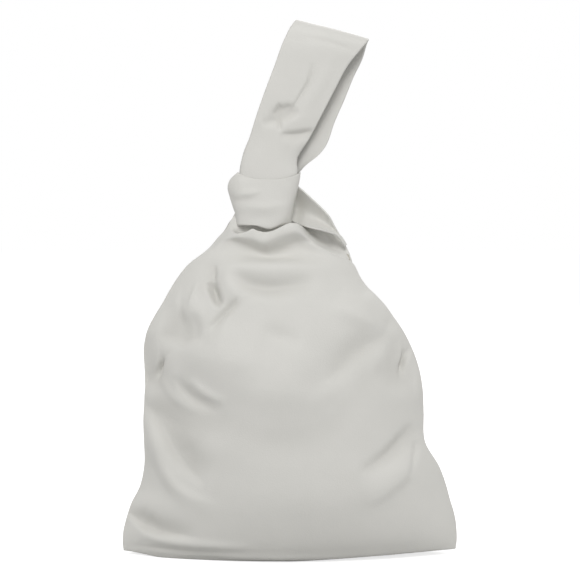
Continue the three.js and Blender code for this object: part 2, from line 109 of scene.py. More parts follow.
# %% Grids into meshes
def grid_piece(name, points, around=False, along=False, flip=False, attributes=()):
    """A mesh from points[row, column]: each face joins a point, its right neighbour and the two above.
    around closes the columns, along closes the rows, and flip turns the faces over."""
    rows, columns = points.shape[:2]
    index = np.arange(rows * columns).reshape(rows, columns)
    if around:
        index = np.concatenate([index, index[:, :1]], axis=1)
    if along:
        index = np.concatenate([index, index[:1]], axis=0)
    corners = [index[:-1, :-1], index[:-1, 1:], index[1:, 1:], index[1:, :-1]]
    faces = np.stack([c.ravel() for c in corners], axis=1)
    if flip:
        faces = faces[:, ::-1]
    mesh = bpy.data.meshes.new(name)
    mesh.from_pydata(points.reshape(-1, 3), [], faces)
    mesh.polygons.foreach_set("use_smooth", np.ones(len(faces), bool))
    for key, values in dict(attributes).items():
        layer = mesh.attributes.new(key, "FLOAT", "POINT")
        layer.data.foreach_set("value", np.asarray(values, np.float32).ravel())
    mesh.validate()
    piece = bpy.data.objects.new(name, mesh)
    bpy.context.scene.collection.objects.link(piece)
    size = points.reshape(-1, 3).max(0) - points.reshape(-1, 3).min(0)
    print(f"{name}: {len(faces)} faces, {np.round(size * 1000, 1)} mm")
    return piece


def loft(sections, rows):
    """Rows of points through a stack of section curves. The rows are even along the mean length of the
    columns, and between the sections each column is a smooth curve."""
    sections = np.asarray(sections)
    steps = np.linalg.norm(np.diff(sections, axis=0), axis=2).mean(1)
    knots = np.concatenate([[0], np.cumsum(steps)])
    return smooth(knots, sections, np.linspace(0, knots[-1], rows))


def between(first, second, shares):
    """Straight lines from one edge to another, with a point at each share of their length."""
    return first[:, None] + (second - first)[:, None] * shares[None, :, None]


SHORTEST = 1e-12  # keeps a normal of no length from being divided by nothing


def outward(points):
    """Unit normals of a grid: the cross product of its two directions, over its length."""
    upwards = np.gradient(points, axis=0)
    sideways = np.gradient(points, axis=1)
    normal = np.cross(sideways, upwards)
    length = np.linalg.norm(normal, axis=2, keepdims=True)
    return normal / np.maximum(length, SHORTEST)


# %% [markdown]
# ## The pouch
# The pouch is two cut halves sewn down the sides and along the bottom. It could be blown up from two flat
# cuts by a cloth simulation, but then its outline would be the simulation's and not this bag's. So each
# half is lofted: the two side seams follow the outline in the photo, and between them every level bows out
# to the depth of the pouch.

# %% The outline and the depth of the pouch
LEFT_SEAM = [  # x and z in millimetres, from the floor up
    (-153.2, 0), (-153.4, 7), (-152.6, 18), (-150, 31), (-146.5, 43), (-137.5, 61), (-133.2, 79),
    (-132.5, 103), (-133.4, 130), (-132, 158), (-133, 190), (-128.5, 206), (-115.6, 229), (-103.5, 250),
    (-92.5, 264),
]
RIGHT_SEAM = [
    (150.8, 0), (151.2, 8), (150.6, 18), (148.6, 31), (145.6, 41), (141.8, 57), (134.6, 79), (125.3, 95),
    (117.6, 113), (120, 131), (119.3, 147), (113, 178), (101.5, 203), (87, 223), (67.3, 244), (57.2, 263),
]
HALF_DEPTH = [  # depth and z: the wall turns under below 60 mm
    (32, 0), (36, 3), (40.3, 7), (43.8, 12), (46.8, 18), (49.2, 25), (51.3, 34), (53, 46), (54.2, 61),
    (54.9, 80), (54.6, 103), (52.5, 145), (47, 190), (39.5, 229), (33, 250), (28.5, 264),
]
LEVELS = np.array([  # heights of the sections, in millimetres
    0, 3, 7, 12, 18, 25, 34, 46, 61, 80, 103, 130, 150, 170, 190, 206, 218, 229, 240, 252, 262,
])
FULLNESS = 0.78  # power of a level's bow: 0.5 is an ellipse, 1 a lens with sharp edges
SEAM_GROOVE, SEAM_LIP = 2.5, 1.5  # mm that the sewn edge draws in, and the depth over which it does
SEAM_EASE = 1.4  # mm by which each half width is let out again
SWAY_STARTS, SWAY_ENDS = (10, 60), (190, 250)  # levels between which the seams begin and cease to waver
SWAYS = [(2.4, 21, 0.6), (1.2, 9, 0)]  # size in mm, mm of height to a radian, start in radians
CORNER_LIFTS = [  # way along x, mm off the floor, distances over which it grows, levels over which it fades
    (1, 5.6, (-20, 130), (20, 90)),
    (-1, 4.0, (110, 150), (8, 40)),
]
COLUMNS, ROWS = 262, 346
across = np.linspace(-1, 1, COLUMNS)
reach = np.sin(across * np.pi / 2)


def edge_at(points, level):
    """The first number of the pairs, as a smooth curve of the second, at each level."""
    points = np.asarray(points, float)
    return smooth(points[:, 1], points[:, 0], level)


def seam_sway(level):
    """The sewn sides waver a little to the front and the back between the floor and the knot: a sum of
    sines of the height."""
    free = ease(level, *SWAY_STARTS) * (1 - ease(level, *SWAY_ENDS))
    return free * sum(size * np.sin(level / length + start) for size, length, start in SWAYS)


def wall_sections(side):
    """Sections of one half: x runs from seam to seam, and y is the depth of that level times
    (1 - reach squared) to the power of the fullness. At the seam the edge draws in by a bell in y,
    so the two halves meet in a groove. Both corners lift off the floor, the right one more. The lowest
    level, pressed flat into the middle plane, is the bottom seam."""
    left = edge_at(LEFT_SEAM, LEVELS)[:, None]
    right = edge_at(RIGHT_SEAM, LEVELS)[:, None]
    depth = edge_at(HALF_DEPTH, LEVELS)[:, None]
    swell = (1 - reach**2) ** FULLNESS
    groove = SEAM_GROOVE * np.exp(-((depth * swell / SEAM_LIP) ** 2)) - SEAM_EASE
    x = (left + right) / 2 + reach * ((right - left) / 2 - groove)
    y = side * depth * swell + seam_sway(LEVELS)[:, None] * (1 - swell)
    lift = sum(height * ease(way * x, *grows) * (1 - ease(LEVELS, *fades))[:, None]
               for way, height, grows, fades in CORNER_LIFTS)
    wall = np.stack([x, y, LEVELS[:, None] + lift], axis=2)
    seam = wall[0] * [1, 0, 1]
    return np.concatenate([[seam, (seam + wall[0]) / 2], wall]) * MM


FRONT, BACK = -1, 1
print("belly:", 2 * max(d for d, _ in HALF_DEPTH), "mm deep")

# %% [markdown]
# Under the knot the leather turns over into a lip and goes up inside the band. No formula gives that shape,
# so these sections are written one by one from what the photo shows: the front's dip below the band, the
# slot behind its lip, and the back that reaches higher on the right. The lower sections of both halves
# share their ends on the right shoulder, as far as it is sewn.

# %% The sections under the knot
FRONT_NECK = [  # place across, then column, row and depth behind the middle plane in millimetres
    [(-1, 211, 247, 0), (-0.75, 222, 243, -9), (-0.5, 236, 243, -12.5), (-0.25, 252, 248.5, -12.4),
     (0, 268, 253.5, -12.4), (0.2, 283, 250, -12), (0.4, 297, 243, -11.5), (0.6, 312, 244, -11.5),
     (0.8, 331, 251.5, -8), (1, 350.5, 257.5, 0)],
    [(-1, 218, 238.5, 0), (-0.75, 227, 237, -10.5), (-0.5, 238, 237, -17.5), (-0.25, 252, 238, -21),
     (0, 266, 241, -22), (0.2, 281, 235, -22), (0.4, 297, 231, -20), (0.6, 311, 239, -9),
     (0.8, 329, 246, 3), (1, 348, 251, 2.5)],
    [(-1, 225, 231, 0), (-0.75, 231, 231.5, -9.5), (-0.5, 239, 233.5, -16), (-0.38, 246, 232, -18),
     (-0.25, 253, 229, -19), (-0.12, 259.5, 231.3, -19), (0, 267, 232.2, -19), (0.1, 274, 230.5, -20),
     (0.2, 281, 227, -20.5), (0.3, 289, 223.5, -19.5), (0.4, 296, 223.5, -17), (0.6, 310, 233, -2),
     (0.8, 327, 238, 6), (1, 343, 242, 4)],
    [(-1, 231.5, 220.5, 0), (-0.75, 236.5, 229, -4.5), (-0.5, 243, 236, -6), (-0.25, 253, 237, -8),
     (0, 265, 239, -11), (0.2, 279, 234, -12), (0.4, 293, 230, -9), (0.6, 308, 228, 3),
     (0.8, 324, 230, 7.5), (1, 337.5, 234.5, 5)],
    [(-1, 239, 206, 0), (-0.75, 242, 205, -3), (-0.5, 247, 206, -5), (-0.25, 256, 206, -7),
     (0, 265, 207, -8), (0.2, 274, 209, -8), (0.3, 281, 213, -6), (0.4, 287, 221, -2),
     (0.6, 304, 225, 5), (0.8, 320, 224, 7), (1, 334, 229, 4)],
]
BACK_NECK = [
    [(-1, 211, 247, 0), (-0.5, 238, 245, 16), (0, 273, 243, 21), (0.4, 304, 246, 21),
     (0.7, 327, 250, 14), (1, 350.5, 257.5, 0)],
    [(-1, 219, 238, 0), (-0.5, 242, 236, 15.5), (0, 272, 235, 18), (0.4, 301, 236, 17),
     (0.7, 324, 240, 13), (1, 348, 251, 2.5)],
    [(-1, 224, 232, 0), (-0.5, 244, 229, 14.5), (0, 272, 227, 15), (0.4, 299, 227.5, 15),
     (0.7, 320, 229, 13), (1, 343, 242, 4)],
    [(-1, 232, 220, 0), (-0.5, 246, 217, 9), (0, 268, 215, 13), (0.4, 292, 212, 16),
     (0.7, 308, 211, 13), (1, 321, 210.5, 6)],
    [(-1, 240, 213, 0), (-0.5, 250, 212, 7), (0, 268, 210, 9), (0.4, 285, 204, 13),
     (0.7, 296, 200, 14), (1, 306, 196.5, 10)],
    [(-1, 242, 209, 0), (-0.5, 252, 208, 7), (0, 268, 206, 8), (0.4, 283, 199, 11),
     (0.7, 290, 193, 12), (1, 297, 188.5, 10)],
]


def neck_sections(rows):
    """Each written section as a smooth curve through its places, from the left seam to the right."""
    return np.stack([smooth([p[0] for p in row], seen([p[1:] for p in row]), across) for row in rows])


def half(side, neck):
    """One half from the bottom seam to the knot, with nothing under the floor."""
    points = loft(np.concatenate([wall_sections(side), neck_sections(neck)]), ROWS)
    points[..., 2] = np.maximum(points[..., 2], 0)
    return points


front, back = half(FRONT, FRONT_NECK), half(BACK, BACK_NECK)
print("front half:", front.shape, "rim at", np.round(front[-1, -1] * 1000, 1))

# %% [markdown]
# Soft leather makes few and broad folds. Each one is a stroke, as a sculptor would press it: a line in the
# photo, a height out of the surface or into it, and a width on either side. The strokes are added up and
# the surface moves along its own normals.

# %% Folds as strokes
DABS = 28
DAB_LENGTH = 1.6  # of a dab's bell along the line, in steps between the dabs
DAB_FADE = 0.7  # power of the sine by which a line fades at its ends


def folds(points, strokes):
    """Sum of the strokes' heights. A stroke is a row of dabs along a smooth line. A dab falls off across
    the line as exp(-(distance / width) to a power), with one width on each side, and along the line as a
    bell that overlaps its neighbours. The heights are divided by what overlapping bells add up to, and
    the dabs fade to nothing at both ends of the line."""
    place = points[..., [0, 2]]
    total = np.zeros(place.shape[:-1])
    for line, height, left, right, power in strokes:
        corners = seen(line)[:, [0, 2]]
        share = (np.arange(DABS) + 0.5) / DABS
        path = smooth(np.linspace(0, 1, len(corners)), corners, share)
        direction = np.gradient(path, axis=0)
        step = np.linalg.norm(direction, axis=1)
        direction /= step[:, None]
        offset = place[..., None, :] - path
        beside = direction[:, 0] * offset[..., 1] - direction[:, 1] * offset[..., 0]
        ahead = (direction * offset).sum(-1)
        width = np.where(beside > 0, left, right) * MM
        bell = np.exp(-((np.abs(beside) / width) ** power) - (ahead / (DAB_LENGTH * step)) ** 2)
        fade = np.sin(np.pi * share) ** DAB_FADE / (DAB_LENGTH * np.sqrt(np.pi))
        total += height * MM * (bell * fade).sum(-1)
    return total


WAVE_FALL = 0.8  # shorter waves are lower, by this power of their length


def waves(points, size, seed, count, longest, shortest):
    """Soft unevenness: a sum of sines in space with seeded directions, divided by the root of their
    number and multiplied by the size."""
    rng = np.random.default_rng(seed)
    total = np.zeros(points.shape[:-1])
    for length in np.geomspace(longest, shortest, count):
        turn = rng.normal(size=3)
        turn *= 2 * np.pi / (length * np.linalg.norm(turn))
        total += np.sin(points @ turn + rng.uniform(0, 2 * np.pi)) * (length / longest) ** WAVE_FALL
    return size * (total / np.sqrt(count))


FRONT_FOLDS = [  # line, height, width to the left of its way and to the right, in millimetres, and power
    # the chest, the sag below it, the belly, and the left of the chest
    ([(184, 350), (240, 376), (300, 384), (352, 368)], 5.8, 36, 20, 2),
    ([(184, 380), (228, 420), (283, 436), (336, 412), (380, 346)], -1.6, 15, 15, 2),
    ([(176, 480), (290, 494), (400, 480)], 2.8, 22, 22, 2),
    ([(186, 343), (222, 355), (264, 353)], 5.2, 25, 17, 2),
    # under the knot
    ([(228, 273), (264, 285), (314, 281)], -5.6, 7, 8, 2),
    ([(226, 260), (264, 266), (308, 262)], 1.8, 8, 8, 2),
    # the pinch on the left shoulder and the crease from it
    ([(212, 258), (213, 280), (220, 304)], -2.8, 6, 7, 1.8),
    ([(215.5, 264), (215, 272), (214, 282)], -1.8, 1.8, 2.4, 2),
    ([(210, 281), (214.5, 293), (221, 305)], -6.6, 4.8, 2.8, 2.2),
    ([(172, 298), (190, 309), (207, 309)], 3.4, 13, 8, 2),
    ([(228, 264), (231, 284), (240, 300)], 2.0, 9, 6, 2),
    ([(246, 288), (226, 311), (202, 342)], -2.6, 8, 6, 1.8),
    ([(240, 296), (228, 309), (207, 331)], -2.8, 3.2, 3.2, 2),
    # the pocket below the pinch, which faces down, and the hollow right of it
    ([(160, 330), (182, 335), (210, 332)], -5.4, 20, 8, 2),
    ([(196, 312), (199, 326), (197, 340)], -1.2, 4, 4, 2),
    ([(264, 326), (282, 333), (302, 339)], -2.0, 8, 8, 2),
    # down the left side
    ([(140, 374), (154, 384), (176, 384)], -3.4, 20, 11, 2),
    ([(145, 336), (149, 362), (147, 388)], -1.8, 8, 8, 2),
    ([(158, 376), (176, 397), (206, 412)], 1.4, 5, 5, 2),
    ([(146, 404), (184, 420), (230, 424)], -3.0, 24, 12, 2),
    ([(176, 374), (190, 393), (220, 407)], -2.6, 6, 4, 2),
    ([(192, 376), (206, 389), (228, 397)], 2.2, 5, 4, 2),
    ([(146, 402), (164, 429), (181, 456), (207, 477)], -6.4, 18, 6, 2),
    ([(149, 412), (156, 438), (165, 465), (183, 488), (216, 500)], 4.2, 6, 9, 2),
    # along the bottom
    ([(127, 514), (140, 524), (158, 530), (196, 532)], -6.2, 11, 3, 2),
    ([(136, 535), (170, 539), (212, 540), (252, 541)], 2.2, 4.5, 4, 2),
    ([(128, 547), (180, 548), (244, 548)], -1.2, 3, 3, 2),
    ([(206, 551), (300, 553.5), (440, 549)], 2.0, 3.5, 3, 2),
    # down the right shoulder and side
    ([(376, 362), (398, 378), (416, 378)], -3.6, 20, 11, 2),
    ([(398, 334), (393, 352), (398, 372)], -1.8, 8, 9, 2),
    ([(386, 332), (360, 345), (332, 367), (304, 390)], -4.8, 9, 14, 2),
    ([(337, 298), (358, 316), (384, 329)], 6.2, 18, 9, 2),
    ([(344, 362), (334, 382), (330, 406)], -1.4, 9, 9, 2),
    ([(419, 449), (397, 475), (364, 497)], 3.2, 7, 12, 2),
    ([(414, 424), (390, 448), (358, 468)], -4.6, 10, 6, 2),
    ([(416, 440), (413, 456), (408, 474)], -2.4, 3.5, 3.5, 1.6),
]
front_uneven = waves(front, 0.5 * MM, seed=3, count=9, longest=0.16, shortest=0.03)
front_height = folds(front, FRONT_FOLDS) + front_uneven
print("front folds:", np.round([front_height.min() / MM, front_height.max() / MM], 1), "mm")

# %% [markdown]
# The back isn't in the photo. It gets what a gathered back would have: pleats that run down from the knot,
# and slack folds at the sides and along the bottom.

# %% The back's own folds
BACK_FOLDS = [
    ([(236, 262), (232, 290), (214, 330)], -4.0, 5, 6, 2),
    ([(262, 256), (264, 292), (258, 336)], -3.4, 5, 6, 2),
    ([(296, 256), (304, 290), (322, 326)], -3.6, 6, 5, 2),
    ([(276, 262), (282, 300), (288, 340)], 2.0, 7, 7, 2),
    ([(240, 300), (282, 306), (320, 298)], -2.0, 9, 9, 2),
    ([(150, 362), (180, 392), (224, 408)], -3.0, 8, 8, 2),
    ([(432, 470), (402, 492), (352, 500)], -3.4, 8, 7, 2),
    ([(150, 486), (182, 502), (236, 506)], -3.2, 7, 8, 2),
    ([(408, 360), (380, 392), (330, 408)], -2.6, 9, 9, 2),
    ([(196, 440), (280, 452), (362, 440)], 1.6, 16, 16, 2),
    ([(150, 530), (290, 536), (440, 532)], -1.8, 5, 5, 2),
]
back_uneven = waves(back, 0.7 * MM, seed=8, count=9, longest=0.16, shortest=0.03)
back_height = folds(back, BACK_FOLDS) + back_uneven
FREE_ACROSS = (0, 0.02)  # folds come in over this share of the half width from the side seams
FREE_ABOVE = (0.001, 0.006)  # and over this height above the floor, in metres


def pressed(points, height):
    """The surface moved along its normals, by nothing at the side seams and the bottom seam."""
    free = ease(1 - np.abs(reach), *FREE_ACROSS)[None, :] * ease(points[..., 2], *FREE_ABOVE)
    return points + outward(points) * (height * free)[..., None]


front_skin = pressed(front, front_height)
back_skin = pressed(back, -back_height)
print("skins:", front_skin.shape, back_skin.shape)

# %% [markdown]
# The skins become meshes. The hollows of the folds get painted shade: the depth of each fold is kept as an
# attribute, and the finish darkens the leather's colour by it. The lining right behind them closes the
# view, so the halves need no thickness of their own.

# %% The two halves
# A fold this deep gets the full painted shade.
FULL_SHADE_DEPTH = 4 * MM  # a fold this deep has the whole shade


def painted_shade_mask(height):
    """The mask of the painted shade in the folds: 0 on the open surface, and 1 where a fold goes in by the
    full shade depth or more.
    """
    return np.clip(-height / FULL_SHADE_DEPTH, 0, 1)


# Both halves carry the painted shade of their folds as an attribute.
pouch_front = grid_piece("pouch_front", front_skin, attributes={"painted_fold_shade": painted_shade_mask(front_height)})
pouch_back = grid_piece("pouch_back", back_skin, flip=True, attributes={"painted_fold_shade": painted_shade_mask(back_height)})
for piece in (pouch_front, pouch_back):
    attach(piece, "bag")
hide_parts("front_panel", "front_neck_gather", "left_side_seam", "bottom_seam")
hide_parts("back_panel", "back_neck_gather", "right_side_seam")

# %% [markdown]
# ## The lining
# A second pouch of thin cotton hangs inside the leather and is sewn to it under the rim. Only a little of
# it shows through the mouth. It is the same loft, a few millimetres further in.

# %% The lining
LINING_INSET = 2.6 * MM
SEAM_IN = 1.5 * MM  # the lining's own seams lie this far inside those of the leather
LINING_ROWS = slice(None, 304, 3)  # every third row, up to where the leather goes into the band
LINING_COLUMNS = slice(None, None, 3)


def lining(name, skin, side):
    """One skin, moved inwards along its normals and kept inside the seams, without the rows that go up
    inside the band."""
    points = skin + outward(skin) * side * LINING_INSET
    points[..., 0] = np.clip(points[..., 0], skin[:, :1, 0] + SEAM_IN, skin[:, -1:, 0] - SEAM_IN)
    points[..., 2] = np.maximum(points[..., 2], skin[:1, :, 2] + SEAM_IN)
    points = points[LINING_ROWS, LINING_COLUMNS]
    return grid_piece(name, points, flip=(side == FRONT))


lining_front = lining("lining_front", front_skin, FRONT)
lining_back = lining("lining_back", back_skin, BACK)
for piece, node in ((lining_front, "front_lining"), (lining_back, "back_lining")):
    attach(piece, "bag")
    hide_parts(node)

# %% [markdown]
# ## The band
# The short handle is a folded strip of leather that lies round the neck like a sleeve. Its wall is a
# profile carried round: up the outside, over a rounded upper edge, down the inside and back under a rounded
# lower edge, so the sleeve is closed and has its thickness everywhere. When the knot is loosened the band
# slides up to where the strap is wider, where real leather crumples.

# %% The band's shape
BAND_LEFT = [  # column and row, from the lower edge up
    (237, 226.5), (235.8, 217), (232.8, 207.5), (230, 198), (228, 188.5), (230.6, 180.5), (238.2, 173.2),
]
BAND_RIGHT = [
    (291.5, 225), (292.2, 216.5), (293.6, 207), (295.8, 198), (298.2, 189), (300, 180), (300.8, 173),
]
BAND_DEPTH = [15.4, 15.3, 14.9, 14.2, 13.6, 13, 12.6]  # half the depth at those levels, in millimetres
BAND_POWER = [2.3, 2.3, 2.3, 2.3, 2.3, 2.4, 2.4]  # of the superellipse at those levels
BAND_WALL = (2.6 * MM, 0.35 * MM)  # at the lower and at the upper edge
BAND_SAG = 7 * MM  # the upper edge hangs lower in the middle than at its ends
TUCK_PLACE, TUCK_WIDTH, TUCK_DROP = seen((270, 230))[0], 9 * MM, 4 * MM  # slack of the lower edge
BAND_RIM = 0.03  # share of the height that each rounded edge takes up
BAND_COLUMNS, BAND_ROWS, RIM_ROWS = 220, 64, 9
SHARES = np.linspace(0, 1, len(BAND_DEPTH))


def band_ring(share, angle, through):
    """A point of the sleeve: across from the left edge to the right one by the cosine of the angle, and
    in depth by its sine, both raised to a power as in a superellipse. through runs from 0 on the outside of
    the wall to 1 on its inside. The upper edge sags and the lower edge drops in a bell round its tuck."""
    left, right = smooth(SHARES, seen(BAND_LEFT), share), smooth(SHARES, seen(BAND_RIGHT), share)
    inset = through * (BAND_WALL[0] + (BAND_WALL[1] - BAND_WALL[0]) * share)
    depth = smooth(SHARES, np.array(BAND_DEPTH) * MM, share) - inset
    power = 2 / smooth(SHARES, BAND_POWER, share)[:, None]
    sway = np.sign(np.cos(angle)) * np.abs(np.cos(angle)) ** power
    bulge = np.sign(np.sin(angle)) * np.abs(np.sin(angle)) ** power
    middle, arm = (left + right) / 2, (right - left) / 2
    arm = arm * (1 - inset / np.linalg.norm(arm, axis=1))[:, None]
    points = middle[:, None] + arm[:, None] * sway[..., None]
    points[..., 1] -= depth[:, None] * bulge
    points[..., 2] -= BAND_SAG * (share**2)[:, None] * bulge**2
    slack = np.exp(-(((points[..., 0] - TUCK_PLACE) / TUCK_WIDTH) ** 2)) * np.clip(bulge, 0, 1)
    points[..., 2] -= TUCK_DROP * slack * ((1 - share) ** 3)[:, None]
    return points


def band_wall(steps, rim):
    """Shares up the wall and places through it, once round the wall's cross-section: straight up and down,
    and half a circle over each edge."""
    up = np.linspace(BAND_RIM, 1 - BAND_RIM, steps)
    turn = np.linspace(0, np.pi, rim + 2)[1:-1]
    over, bend = (1 - np.cos(turn)) / 2, BAND_RIM * np.sin(turn)
    share = np.concatenate([up, 1 - BAND_RIM + bend, up[::-1], BAND_RIM - bend])
    through = np.concatenate([0 * up, over, 0 * up + 1, over[::-1]])
    return share, through


band_angle = np.linspace(0, 2 * np.pi, BAND_COLUMNS, endpoint=False)
band_share, band_through = band_wall(BAND_ROWS, RIM_ROWS)
band = band_ring(band_share, band_angle, band_through)
print("band:", band.shape, "points")

# %% The band's folds
BAND_FRONT = (0, 0.006)  # folds come in between these depths in front of the middle plane, in metres
BAND_FOLDS = [
    ([(231, 206), (262, 209), (292, 205)], -0.9, 4, 5, 2),
    ([(234, 197), (245, 195.5), (258, 193)], -1.2, 4, 4, 2),
    ([(287, 184), (288, 205), (283, 226)], -1.5, 5, 4, 2),
    ([(246, 217), (264, 219), (280, 217)], 0.9, 6, 6, 2),
    ([(242, 176), (238, 188), (238, 201)], -1.8, 5, 5, 2),
    ([(243, 196), (250, 195), (262, 192)], -0.9, 2.5, 3, 2),
]
band_uneven = waves(band, 0.3 * MM, seed=5, count=6, longest=0.06, shortest=0.016)
band_height = folds(band, BAND_FOLDS) * ease(-band[..., 1], *BAND_FRONT) + band_uneven
outer_wall = (band_through == 0)[:, None]
band = band + outward(band) * (band_height * outer_wall)[..., None]
# The band's dents get painted shade by their depth.
band_shade_mask = {"painted_fold_shade": painted_shade_mask(band_height)}
knot_band = grid_piece("knot_band", band, around=True, along=True, attributes=band_shade_mask)
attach(knot_band, "band")
tuple(seen((264, 226)))
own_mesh(knot_band)
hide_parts("short_handle_front", "short_handle_back")

# %% [markdown]
# ## The root of the short handle
# On the right shoulder the short handle rises to the knot as a twisted strip. Its lower edge lies over the
# rim of the front half and keeps it in shade, and its far end goes behind the band. It could be bent from a
# flat strip, but the photo gives its two edges, so rungs between them carry it, and between the edges the
# strip is hollow. It is seen from both sides at its free edge, so it gets the thickness of the leather.

# %% The handle's root
ROOT_RUNGS = [  # outer edge, then lower edge: column, row and depth in millimetres
    (345.5, 246, 0, 343.5, 247, -3), (339.4, 235, -3, 336.5, 237.5, -8),
    (334.6, 226, -4.5, 329, 234, -12), (329.5, 217, -4.5, 321, 231.5, -14),
    (321.5, 208.5, -3.5, 312, 229.5, -13.5), (312.3, 199.8, -1, 303, 227, -8),
    (303, 191.2, 4, 295, 224.5, 3), (295.5, 185.5, 6, 286, 220, 7), (287, 184, 4.5, 276, 215, 5),
]
ROOT_HOLLOW = 12.5 * MM
ROOT_OPENS, ROOT_CLOSES = (0, 0.5), (0.72, 1)  # shares of the length over which the hollow comes and goes
ROOT_SKEW = 0.8  # below 1 the hollow is deepest nearer to the lower edge
ROOT_STEPS, ROOT_ACROSS = 120, 61
LEATHER = 1.6 * MM


def root_grid():
    """Lines between the two edges, pushed back by a sine of the place across. The hollow grows from the
    shoulder and closes again behind the band."""
    rungs = np.asarray(ROOT_RUNGS, float)
    knots = np.linspace(0, 1, len(rungs))
    along = np.linspace(0, 1, ROOT_STEPS)
    outer, lower = (smooth(knots, seen(rungs[:, part]), along) for part in (slice(0, 3), slice(3, 6)))
    share = np.linspace(0, 1, ROOT_ACROSS)
    points = between(lower, outer, share)
    depth = ROOT_HOLLOW * ease(along, *ROOT_OPENS) * (1 - ease(along, *ROOT_CLOSES))
    points[..., 1] += depth[:, None] * np.sin(np.pi * share**ROOT_SKEW)
    return points


def thicken(piece):
    """Gives a strip the thickness of the leather, behind the side that is seen."""
    wall = piece.modifiers.new("leather", "SOLIDIFY")
    wall.thickness, wall.offset = LEATHER, -1


root_points = root_grid()
root_height = waves(root_points, 0.25 * MM, seed=14, count=6, longest=0.06, shortest=0.02)
root_points = root_points + outward(root_points) * root_height[..., None]
# The root's dents get painted shade by their depth.
root_shade_mask = {"painted_fold_shade": painted_shade_mask(root_height)}
root_strip = grid_piece("handle_root", root_points, flip=True, attributes=root_shade_mask)
thicken(root_strip)
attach(root_strip, "bag")
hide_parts("short_handle_root")

# %% [markdown]
# ## The strap
# The long handle is one strip folded over at the top: the front layer comes out of the band, goes over the
# fold and down again behind. Rungs give its two edges, and the strip runs smoothly through them. In the
# band both layers bow away from each other and meet at their edges, so together they fill it as an oval,
# and the band can slide on them. Near the band the leather is pleated together, which makes the creases of
# the front layer.

# %% The strap's rungs
RUNGS = [  # left edge, right edge (column, row), depths of the left and the right edge in millimetres
    # up the front, from inside the band to the top
    (247, 196, 284, 198, -1.4, -1.4), (243.5, 188, 289, 190, -1.4, -1.4),
    (240, 177, 297, 179, -1.6, -1.6), (243, 157, 297.6, 160, -3.6, -2.6),
    (250.3, 138, 309.5, 140, -6.6, -5.6), (256.3, 119, 320, 120, -8.8, -7.4),
    (265.5, 93, 333.5, 94, -9.8, -8.2), (275, 68, 347, 69, -10.5, -8.9), (284, 44, 359, 54, -10.6, -9.2),
    (291, 30, 365.5, 46.5, -8, -7.4), (294, 25.6, 367.5, 44, -4.2, -4),
    # the fold, and down the back into the band again
    (295, 24.2, 368, 43.4, 0, 0), (294.5, 25.6, 367.5, 44, 2.8, 2.6), (293, 30, 366.5, 46.5, 5.6, 5.2),
    (288, 44, 362.5, 60, 8.2, 7), (281, 68, 353, 80, 9.4, 7.2), (273, 93, 344.5, 101, 9.6, 7),
    (264, 119, 334.5, 124, 9.2, 6.2), (257, 138, 326, 147, 7, 3.6), (250, 154, 318, 157, 4, 1.8),
    (244, 168, 304.5, 168, 2, 1.4), (242.5, 177, 297, 177, 1.6, 1.4), (243.5, 188, 289, 190, 1.4, 1.4),
    (247, 196, 284, 198, 1.4, 1.4),
]
STRAP_EDGE = 0.03  # share of the width over which each edge is rounded
EDGE_CROWD = 0.35  # share of the cosine steps, which put more columns at the edges, in the even ones
STRAP_STEPS, STRAP_ACROSS = 300, 75


def strap_frame(steps):
    """Left and right edge of the strip at even steps of the length of its middle."""
    rungs = np.asarray(RUNGS, float)
    left = seen(rungs[:, [0, 1, 4]])
    right = seen(rungs[:, [2, 3, 5]])
    length = np.linalg.norm(np.diff((left + right) / 2, axis=0), axis=1)
    knots = np.concatenate([[0], np.cumsum(length)])
    at = np.linspace(0, knots[-1], steps)
    return smooth(knots, left, at), smooth(knots, right, at), at


def strip_section(count, edge_share):
    """Once round the strip's cross-section: places across from 0 to 1, and heights from -1 to 1 which are
    round at the two edges."""
    place = 0.5 - 0.5 * np.cos(np.linspace(0, np.pi, count))
    place = EDGE_CROWD * place + (1 - EDGE_CROWD) * np.linspace(0, 1, count)
    near = np.clip(np.minimum(place, 1 - place) / edge_share, 0, 1)
    height = np.sqrt(1 - (1 - near) ** 2)
    return np.concatenate([place, place[-2:0:-1]]), np.concatenate([height, -height[-2:0:-1]])


strap_left, strap_right, strap_at = strap_frame(STRAP_STEPS)
place, layer_height = strip_section(STRAP_ACROSS, STRAP_EDGE)
strap_core = between(strap_left, strap_right, place)
five_columns = between(strap_left, strap_right, np.linspace(0, 1, 5))
middle_normal = outward(five_columns)[:, 2:3]
print("strap:", round(strap_at[-1], 3), "m long")

